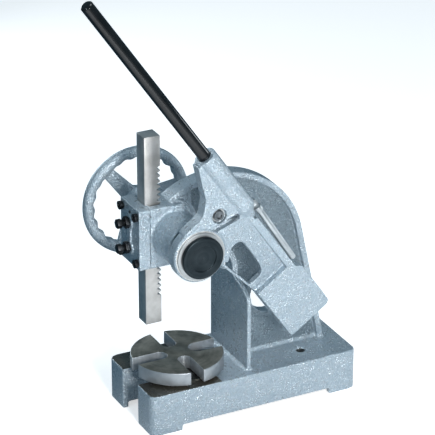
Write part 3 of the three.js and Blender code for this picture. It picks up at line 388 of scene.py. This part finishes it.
def groundMetal(name, dark, light, metallic, roughness, turn=(0, 0, 0), strength=0.12, fineness=1500):
    material, shader = newMaterial(name)
    tree = material.node_tree
    marks = useEffect(tree, "groundMarks", {
        "Vector": objectPoint(tree, turn=turn), "Fineness": fineness, "Patches": groundLook["patches"]})
    tree.links.new(mixColour(tree, marks["Tone"], dark, light), shader.inputs["Base Color"])
    spread = groundLook["roughSpread"]
    rough = multiplyAdd(tree, marks["Height"], spread, roughness - groundLook["roughDrop"])
    tree.links.new(rough, shader.inputs["Roughness"])
    shader.inputs["Metallic"].default_value = metallic
    bumpOf(tree, shader, marks["Height"], strength, groundLook["bumpDistance"])
    return material


def middleOf(node):
    low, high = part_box(node)
    return (low + high) / 2


alongX = (0, math.pi / 2, 0)
handleLean = math.radians(34.6)
shaft = middleOf("end_cap")
tableMiddle = middleOf("table_pin")
baseLow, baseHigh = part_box("base_casting")
seatTop = baseHigh.z
webMiddle = (baseLow.x + baseHigh.x) / 2
pawlScrew = middleOf("pawl_screw")
far = 1.0  # past the press on every side

# where the castings are bare or darkened with painted shade, measured from the base's front, its seat,
# the shaft or the screw
seatMask = {
    "over": 1 * mm, "faceDrop": 6.6 * mm, "faceEnd": 175 * mm, "edgeDrop": 4.9 * mm, "edgeEnd": 204 * mm,
}
coreMask = {"wall": 13 * mm, "start": 141 * mm, "roof": 8 * mm}
# sizes of the web panels between the rims that get painted shade
webShadeMask = {
    "half": 16 * mm, "plateBack": 258.5 * mm, "under": 2 * mm, "neckStart": 150 * mm, "neckRise": 232 * mm,
}
leverMask = {
    "hubHalf": 66 * mm, "hubUnder": 3 * mm, "hubOver": 1 * mm,
    "pawlHalf": 19 * mm, "pawlUnder": 9 * mm, "pawlOver": -4 * mm,
}


def seatFaces():
    s = seatMask
    top = seatTop + s["over"]
    face = (-far, -far, seatTop - s["faceDrop"]), (far, baseLow.y + s["faceEnd"], top), (0, 0, 1), bareIron
    edge = (-far, -far, seatTop - s["edgeDrop"]), (far, baseLow.y + s["edgeEnd"], top), None, bareIron
    return [face, edge]


# the hollow inside the base, which gets painted near black as shade
def baseCore():
    wall = coreMask["wall"]
    return ((baseLow.x + wall, baseLow.y + coreMask["start"], -far),
            (baseHigh.x - wall, baseHigh.y - wall, seatTop - coreMask["roof"]))


# boxes over the web panels that get painted shade
def webShadePanels():
    s = webShadeMask
    left, right = webMiddle - s["half"], webMiddle + s["half"]
    back = baseLow.y + s["plateBack"]
    neckLow = (left, baseLow.y + s["neckStart"], seatTop + s["neckRise"])
    return [((left, back, seatTop - s["under"]), (right, far, far)), (neckLow, (right, back, far))]


def roundFace(front, middle, half, under, over):
    return ((front - under, middle.y - half, middle.z - half),
            (front + over, middle.y + half, middle.z + half), (1, 0, 0), bareSteel)


def leverFaces():
    s = leverMask
    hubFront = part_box("thrust_ring")[0].x
    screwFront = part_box("pawl_screw")[1].x
    return [roundFace(hubFront, shaft, s["hubHalf"], s["hubUnder"], s["hubOver"]),
            roundFace(screwFront, pawlScrew, s["pawlHalf"], s["pawlUnder"], s["pawlOver"])]


materials = {
    "framePaint": paintedCasting("framePaint", seatFaces(), baseCore(), webShadePanels()),
    "coverPaint": paintedCasting("coverPaint"),
    "leverPaint": paintedCasting("leverPaint", leverFaces()),
    "wheelPaint": paintedCasting("wheelPaint"),
    "tableIron": tableMetal("tableIron", tableMiddle),
}
turnedMetals = {  # dark and light colour, metallic, roughness; then where needed rings and bump strength
    "brightRing": ((0.34, 0.36, 0.37), (0.52, 0.54, 0.55), 0.95, 0.3),
    "shaftSteel": ((0.42, 0.42, 0.41), (0.62, 0.62, 0.60), 0.95, 0.3),
    "burnishedCap": ((0.012, 0.019, 0.023), (0.04, 0.052, 0.06), 0.92, 0.3, 1400, 0.35),
    "bushBronze": ((0.42, 0.25, 0.10), (0.62, 0.40, 0.18), 0.9, 0.32),
}
groundMetals = {  # the same, then where needed the way the scratches run and the bump's strength
    "ramSteel": ((0.44, 0.43, 0.415), (0.60, 0.59, 0.575), 0.8, 0.34),
    "handleBlack": ((0.003, 0.0035, 0.004), (0.006, 0.007, 0.008), 0.0, 0.1, (0, 0, 0), 0.02),
    "oxideBlack": ((0.014, 0.016, 0.018), (0.035, 0.038, 0.042), 0.9, 0.38),
    "darkSteel": ((0.10, 0.10, 0.10), (0.2, 0.2, 0.195), 0.85, 0.4),
    "screwSteel": ((0.10, 0.115, 0.125), (0.26, 0.28, 0.30), 0.9, 0.34),
    "barSteel": ((0.42, 0.45, 0.47), (0.62, 0.66, 0.68), 0.85, 0.34, (handleLean, 0, 0)),
}
for metal, look in turnedMetals.items():
    materials[metal] = turnedMetal(metal, shaft, alongX, *look)
for metal, look in groundMetals.items():
    materials[metal] = groundMetal(metal, *look)

# mesh helpers


def meshOf(*nodes):
    mesh = bmesh.new()
    for node in nodes:
        mesh.from_mesh(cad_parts[node].data)
    bmesh.ops.remove_doubles(mesh, verts=mesh.verts, dist=1e-6)
    return mesh


def applied(holder):
    # the object's modifiers turned into a plain mesh
    bpy.context.view_layer.update()
    ready = holder.evaluated_get(bpy.context.evaluated_depsgraph_get())
    plain = bpy.data.meshes.new_from_object(ready)
    holder.modifiers.clear()
    old = holder.data
    holder.data = plain
    plain.name = holder.name
    bpy.data.meshes.remove(old)
    return holder


def holderFor(name, mesh):
    data = bpy.data.meshes.new(name)
    mesh.to_mesh(data)
    mesh.free()
    holder = bpy.data.objects.new(name, data)
    bpy.context.scene.collection.objects.link(holder)
    return holder


def settle(holder, material, body, slot, *nodes):
    holder.data.materials.clear()
    holder.data.materials.append(materials[material])
    holder.data.shade_smooth()
    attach(holder, body)
    if nodes:
        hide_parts(*nodes)
    return holder


def castPiece(name, mesh, voxel, passes, keep):
    # soft edges and small fillets, as a pattern maker leaves them
    holder = holderFor(name, mesh)
    remesh = holder.modifiers.new("skin", "REMESH")
    remesh.mode = "VOXEL"
    remesh.voxel_size = voxel
    soften = holder.modifiers.new("soften", "SMOOTH")
    soften.factor = 0.5
    soften.iterations = passes
    thin = holder.modifiers.new("thin", "DECIMATE")
    thin.ratio = keep
    return applied(holder)


brokenEdges = {
    "segments": 2, "flatAngle": math.radians(1), "edgeAngle": math.radians(32),
    "sharpAngle": math.radians(34),
}


def edgedPiece(name, mesh, width):
    # a machined piece with its edges broken
    s = brokenEdges
    bmesh.ops.dissolve_limit(mesh, angle_limit=s["flatAngle"], verts=mesh.verts, edges=mesh.edges)
    holder = holderFor(name, mesh)
    bevel = holder.modifiers.new("edges", "BEVEL")
    bevel.width = width
    bevel.segments = s["segments"]
    bevel.limit_method = "ANGLE"
    bevel.angle_limit = s["edgeAngle"]
    return applied(holder)


def addBox(mesh, low, high):
    low, high = Vector(low), Vector(high)
    made = bmesh.ops.create_cube(mesh, size=1)["verts"]
    bmesh.ops.scale(mesh, vec=high - low, verts=made)
    bmesh.ops.translate(mesh, vec=(low + high) / 2, verts=made)


def lathe(mesh, profile, sides):
    # closed turned body about Z; profile holds (radius, z), and starts and ends on the axis
    rings = []
    for radius, z in profile:
        if radius == 0:
            rings.append([mesh.verts.new((0, 0, z))])
            continue
        turns = [2 * math.pi * i / sides for i in range(sides)]
        places = [(radius * math.cos(a), radius * math.sin(a), z) for a in turns]
        rings.append([mesh.verts.new(place) for place in places])
    made = [v for ring in rings for v in ring]
    faces = []
    for low, high in zip(rings, rings[1:]):
        for i in range(sides):
            after = i + 1
            corners = [low[i % len(low)], low[after % len(low)],
                       high[after % len(high)], high[i % len(high)]]
            faces.append(mesh.faces.new(list(dict.fromkeys(corners))))
    bmesh.ops.remove_doubles(mesh, verts=made, dist=1e-7)
    bmesh.ops.recalc_face_normals(mesh, faces=[f for f in faces if f.is_valid])
    return [v for v in made if v.is_valid]


# the body casting

frameCasting = {
    "voxel": 2.0 * mm, "passes": 4, "keep": 0.42, "webHalf": 8 * mm, "rimHalf": 20 * mm, "fillet": 8 * mm,
    "bossRadius": 56 * mm, "headDepth": 74.3 * mm, "plateRear": 258 * mm, "plateThick": 11 * mm,
    "closeUp": 0.5 * mm, "weld": 1.5 * mm, "weldReach": 3 * mm, "weldLift": 12 * mm, "weldTop": 44 * mm,
    "ringInner": 12 * mm, "ringOuter": 1.6 * mm, "ringSides": 64, "webInset": 3 * mm, "plateInset": 2 * mm,
    "filletBury": 0.3,
}


def addFillet(mesh, start, end, out, up, size):
    # a three-sided strip in the corner along a line, which the softening turns into a fillet
    start, end, out, up = (Vector(v) for v in (start, end, out, up))
    bury = size * frameCasting["filletBury"]
    offsets = (-bury * (out + up), size * out - bury * up, size * up - bury * out)
    first, last = [[mesh.verts.new(p + offset) for offset in offsets] for p in (start, end)]
    faces = [mesh.faces.new(first), mesh.faces.new(last[::-1])]
    for i in range(3):
        faces.append(mesh.faces.new((first[i], first[(i + 1) % 3], last[(i + 1) % 3], last[i])))
    bmesh.ops.recalc_face_normals(mesh, faces=faces)


def buildFrame():
    s = frameCasting
    mesh = meshOf("base_casting", "head_casting")
    upright = meshOf("upright_casting")
    uprightLow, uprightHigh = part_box("upright_casting")
    bmesh.ops.translate(upright, vec=(0, -s["closeUp"], -s["closeUp"]), verts=upright.verts)
    data = bpy.data.meshes.new("uprightCopy")
    upright.to_mesh(data)
    mesh.from_mesh(data)
    upright.free()
    bpy.data.meshes.remove(data)
    # the press body is one casting, so the joints between its three solids are welded
    middle = (uprightLow.x + uprightHigh.x) / 2
    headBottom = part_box("head_casting")[0].z
    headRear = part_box("front_cover")[1].y + s["headDepth"]
    half = s["rimHalf"] - s["weld"]
    addBox(mesh, (middle - half, headRear - s["weldReach"], headBottom + s["weldLift"]),
           (middle + half, headRear + s["weldReach"], shaft.z + s["weldTop"]))
    inner, outer = s["bossRadius"] - s["ringInner"], s["bossRadius"] + s["ringOuter"]
    section = [(inner, -half), (outer, -half), (outer, half), (inner, half), (inner, -half)]
    made = lathe(mesh, section, s["ringSides"])
    bmesh.ops.rotate(mesh, matrix=Matrix.Rotation(math.pi / 2, 3, "Y"), verts=made)
    bmesh.ops.translate(mesh, vec=(middle, shaft.y, shaft.z), verts=made)
    # fillets where the web and the front plate stand on the base
    floorZ = uprightLow.z
    plateRear = baseLow.y + s["plateRear"]
    webEnd = uprightHigh.y - s["webInset"]
    for side in (-1, 1):
        x = middle + side * s["webHalf"]
        addFillet(mesh, (x, plateRear, floorZ), (x, webEnd, floorZ), (side, 0, 0), (0, 0, 1), s["fillet"])
    left, right = uprightLow.x + s["plateInset"], uprightHigh.x - s["plateInset"]
    for y, way in ((plateRear - s["plateThick"], -1), (plateRear, 1)):
        addFillet(mesh, (left, y, floorZ), (right, y, floorZ), (0, way, 0), (0, 0, 1), s["fillet"])
    return castPiece("pressFrame", mesh, s["voxel"], s["passes"], s["keep"])


print("frame casting")
settle(buildFrame(), "framePaint", "frame", "painted_casting",
       "base_casting", "upright_casting", "head_casting")

# cover, lever and handwheel

coverPlate = {"voxel": 1.1 * mm, "passes": 4, "keep": 0.45}
leverCasting = {"voxel": 1.3 * mm, "passes": 4, "keep": 0.5}
handwheel = {
    "rimRadius": 115 * mm, "tubeRadius": 14 * mm, "waves": 21, "waveDepth": 5 * mm, "around": 420,
    "section": 28, "scallopFade": (0.72, 0.9), "spokes": 3, "spokeRoot": 21 * mm, "spokeTip": 13 * mm,
    "spokeDepth": 0.42, "spokeSides": 40, "hubRadius": 29 * mm, "hubLength": 38 * mm, "hubEase": 3 * mm,
    "hubFlare": 1 * mm, "hubLip": 2 * mm, "hubSides": 64, "phase": 10.5, "voxel": 1.25 * mm, "passes": 5,
    "keep": 0.55,
}

print("cover and lever")
coverHolder = castPiece("coverPlate", meshOf("front_cover"), **coverPlate)
settle(coverHolder, "coverPaint", "frame", "painted_casting", "front_cover")
leverHolder = castPiece("leverCasting", meshOf("lever_arm"), **leverCasting)
settle(leverHolder, "leverPaint", "lever", "painted_casting", "lever_arm")


def newTree(name, inputs):
    tree = bpy.data.node_groups.new(name, "GeometryNodeTree")
    for label, kind, value in inputs:
        tree.interface.new_socket(label, in_out="INPUT", socket_type=kind).default_value = value
    tree.interface.new_socket("Geometry", in_out="OUTPUT", socket_type="NodeSocketGeometry")
    given = tree.nodes.new("NodeGroupInput").outputs
    return tree, given, tree.nodes.new("NodeGroupOutput").inputs["Geometry"]


def finishTree(tree, geometry, out, material):
    real = addNode(tree, "GeometryNodeRealizeInstances", {"Geometry": geometry})
    painted = addNode(tree, "GeometryNodeSetMaterial", {"Geometry": real.outputs[0], "Material": material})
    tree.links.new(painted.outputs[0], out)


def runTree(name, tree, values):
    holder = bpy.data.objects.new(name, bpy.data.meshes.new(name))
    bpy.context.scene.collection.objects.link(holder)
    modifier = holder.modifiers.new("shape", "NODES")
    modifier.node_group = tree
    for item in tree.interface.items_tree:
        if item.in_out == "INPUT" and item.name in values:
            modifier[item.identifier] = values[item.name]
    return applied(holder)


def makeWheelTree():
    # a round rim scalloped on its inner side, and spokes that narrow towards it, about the Z axis
    tree, given, out = newTree("handwheelShape", [
        ("Rim Radius", "NodeSocketFloat", 0.1), ("Tube Radius", "NodeSocketFloat", 0.01),
        ("Waves", "NodeSocketInt", 20), ("Wave Depth", "NodeSocketFloat", 0.004),
        ("Around", "NodeSocketInt", 300), ("Section", "NodeSocketInt", 24),
        ("Spokes", "NodeSocketInt", 3), ("Spoke Root", "NodeSocketFloat", 0.02),
        ("Spoke Tip", "NodeSocketFloat", 0.01), ("Spoke Depth", "NodeSocketFloat", 0.4),
    ])
    circles = []
    for steps, size in (("Around", "Rim Radius"), ("Section", "Tube Radius")):
        sizes = {"Resolution": given[steps], "Radius": given[size]}
        circles.append(addNode(tree, "GeometryNodeCurvePrimitiveCircle", sizes, mode="RADIUS").outputs[0])
    rim = addNode(tree, "GeometryNodeCurveToMesh", {"Curve": circles[0], "Profile Curve": circles[1]})
    place = addNode(tree, "GeometryNodeInputPosition").outputs[0]
    parts = addNode(tree, "ShaderNodeSeparateXYZ", {"Vector": place}).outputs
    flat = addNode(tree, "ShaderNodeCombineXYZ", {"X": parts[0], "Y": parts[1]}).outputs[0]
    radius = addNode(tree, "ShaderNodeVectorMath", {0: flat}, operation="LENGTH").outputs["Value"]
    outward = addNode(tree, "ShaderNodeVectorMath", {0: flat}, operation="NORMALIZE").outputs[0]
    angle = mathNode(tree, "ARCTAN2", parts[1], parts[0])
    wave = mathNode(tree, "COSINE", mathNode(tree, "MULTIPLY", angle, given["Waves"]))
    wave = multiplyAdd(tree, wave, -0.5, 0.5)
    # scallops fade out beside each spoke
    nearSpoke = mathNode(tree, "COSINE", mathNode(tree, "MULTIPLY", angle, given["Spokes"]))
    faded = ramp(tree, nearSpoke, *handwheel["scallopFade"])
    wave = mathNode(tree, "MULTIPLY", wave, mathNode(tree, "SUBTRACT", 1.0, faded))
    depth = mathNode(tree, "SUBTRACT", given["Rim Radius"], radius)
    inward = mathNode(tree, "DIVIDE", depth, given["Tube Radius"], clamp=True)
    push = mathNode(tree, "MULTIPLY", mathNode(tree, "MULTIPLY", wave, inward), given["Wave Depth"])
    offset = addNode(tree, "ShaderNodeVectorMath", {0: outward, "Scale": push}, operation="SCALE")
    rim = addNode(tree, "GeometryNodeSetPosition", {"Geometry": rim.outputs[0], "Offset": offset.outputs[0]})
    spoke = addNode(tree, "GeometryNodeMeshCone", {
        "Vertices": handwheel["spokeSides"], "Radius Top": given["Spoke Tip"],
        "Radius Bottom": given["Spoke Root"], "Depth": given["Rim Radius"]})
    thin = addNode(tree, "ShaderNodeCombineXYZ", {"X": given["Spoke Depth"], "Y": 1.0, "Z": 1.0})
    laid = addNode(tree, "GeometryNodeTransform", {
        "Geometry": spoke.outputs[0], "Rotation": (0, math.pi / 2, 0), "Scale": thin.outputs[0]})
    spots = addNode(tree, "GeometryNodeMeshLine", {"Count": given["Spokes"], "Offset": (0, 0, 0)})
    turnStep = mathNode(tree, "DIVIDE", 2 * math.pi, given["Spokes"])
    index = addNode(tree, "GeometryNodeInputIndex").outputs[0]
    turned = addNode(tree, "ShaderNodeCombineXYZ", {"Z": mathNode(tree, "MULTIPLY", index, turnStep)})
    spokes = addNode(tree, "GeometryNodeInstanceOnPoints", {
        "Points": spots.outputs[0], "Instance": laid.outputs[0], "Rotation": turned.outputs[0]})
    together = addNode(tree, "GeometryNodeJoinGeometry")
    tree.links.new(spokes.outputs[0], together.inputs[0])
    tree.links.new(rim.outputs[0], together.inputs[0])
    finishTree(tree, together.outputs[0], out, materials["wheelPaint"])
    return tree


def buildHandwheel():
    s = handwheel
    wheelLow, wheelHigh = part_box("handwheel")
    shape = runTree("wheelBlank", makeWheelTree(), {
        "Rim Radius": s["rimRadius"], "Tube Radius": s["tubeRadius"], "Waves": s["waves"],
        "Wave Depth": s["waveDepth"], "Around": s["around"], "Section": s["section"], "Spokes": s["spokes"],
        "Spoke Root": s["spokeRoot"], "Spoke Tip": s["spokeTip"], "Spoke Depth": s["spokeDepth"]})
    mesh = bmesh.new()
    mesh.from_mesh(shape.data)
    bpy.data.objects.remove(shape)
    half = s["hubLength"] / 2
    radius, ease, flare = s["hubRadius"], s["hubEase"], s["hubFlare"]
    profile = [(0, -half), (radius - ease, -half), (radius, -half + ease),
               (radius + flare, half - s["hubLip"]), (radius - flare, half), (0, half)]
    lathe(mesh, profile, s["hubSides"])
    turn = Matrix.Rotation(math.radians(s["phase"]), 3, "X") @ Matrix(((0, 0, 1), (1, 0, 0), (0, 1, 0)))
    bmesh.ops.rotate(mesh, matrix=turn, verts=mesh.verts)
    bmesh.ops.translate(mesh, vec=((wheelLow.x + wheelHigh.x) / 2, shaft.y, shaft.z), verts=mesh.verts)
    return castPiece("handwheelCasting", mesh, s["voxel"], s["passes"], s["keep"])


print("handwheel")
settle(buildHandwheel(), "wheelPaint", "pinion", "painted_casting", "handwheel")

# machined pieces

edgedPieces = {  # node: piece, edge break in mm, material, body, slot
    "table_plate": ("tablePlate", 1.0, "tableIron", "table", "machined_iron"),
    "ram": ("ramBar", 0.7, "ramSteel", "ram", "ground_steel"),
    "thrust_ring": ("thrustRing", 0.5, "brightRing", "pinion", "ground_steel"),
    "end_cap": ("endCap", 0.9, "burnishedCap", "pinion", "black_oxide"),
    "wheel_spacer": ("wheelSpacer", 0.5, "shaftSteel", "pinion", "ground_steel"),
    "handwheel_washer": ("handwheelWasher", 0.4, "shaftSteel", "pinion", "ground_steel"),
    "handwheel_nut": ("handwheelNut", 0.8, "oxideBlack", "pinion", "black_oxide"),
    "ratchet_wheel": ("ratchetWheel", 0.3, "darkSteel", "pinion", "machined_iron"),
    "pawl": ("pawlFinger", 0.5, "barSteel", "pawl", "machined_iron"),
    "release_bar": ("releaseBar", 0.5, "barSteel", "pawl", "ground_steel"),
    "pawl_screw": ("pawlPivotScrew", 0.7, "screwSteel", "lever", "black_oxide"),
    "adjusting_screw_upper": ("upperAdjuster", 0.8, "oxideBlack", "frame", "black_oxide"),
    "adjusting_screw_lower": ("lowerAdjuster", 0.8, "oxideBlack", "frame", "black_oxide"),
    "lock_nut_upper": ("upperLockNut", 0.8, "oxideBlack", "frame", "black_oxide"),
    "lock_nut_lower": ("lowerLockNut", 0.8, "oxideBlack", "frame", "black_oxide"),
}
for screw in range(1, 5):
    edgedPieces[f"cover_screw_{screw}"] = (f"coverScrew{screw}", 0.7, "oxideBlack", "frame", "black_oxide")

print("machined pieces")
for node, (name, width, material, body, slot) in edgedPieces.items():
    piece = edgedPiece(name, meshOf(node), width * mm)
    settle(piece, material, body, slot, node)
    piece.data.set_sharp_from_angle(angle=brokenEdges["sharpAngle"])

# the handle

handle = {"sides": 72, "chamfer": 3 * mm, "round": 1 * mm, "roundShare": 0.3}


def buildHandle():
    s = handle
    low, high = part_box("handle_bar")
    radius = (high.x - low.x) / 2
    length = ((high.z - low.z) - 2 * radius * math.sin(handleLean)) / math.cos(handleLean)
    half = length / 2
    chamfer, ease = s["chamfer"], s["round"]
    soft = s["roundShare"] * ease
    profile = [(0, -half), (radius, -half), (radius, half - chamfer - ease),
               (radius - soft, half - chamfer), (radius - chamfer, half - soft),
               (radius - chamfer - ease, half), (0, half)]
    mesh = bmesh.new()
    lathe(mesh, profile, s["sides"])
    bmesh.ops.rotate(mesh, matrix=Matrix.Rotation(handleLean, 3, "X"), verts=mesh.verts)
    bmesh.ops.translate(mesh, vec=(low + high) / 2, verts=mesh.verts)
    return holderFor("handleBar", mesh)


print("handle")
handleBar = settle(buildHandle(), "handleBlack", "lever", "black_handle", "handle_bar")
handleBar.data.set_sharp_from_angle(angle=brokenEdges["sharpAngle"])

# pieces that stay as the frame has them

carriedOver = {
    "gib_plate": "bushBronze", "oiler": "oxideBlack", "cover_dowel_1": "shaftSteel",
    "cover_dowel_2": "shaftSteel", "bush_lever_side": "bushBronze", "bush_wheel_side": "bushBronze",
    "table_pin": "shaftSteel",
    "pinion_shaft": "shaftSteel", "ratchet_key": "darkSteel", "handwheel_key": "darkSteel",
    "lever_bush": "bushBronze", "handle_set_screw": "oxideBlack", "pawl_spring": "darkSteel",
}
for node, material in carriedOver.items():
    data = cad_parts[node].data
    data.materials.clear()
    data.materials.append(materials[material])

print("studio")
addCamera()
addLights()
addFloor()
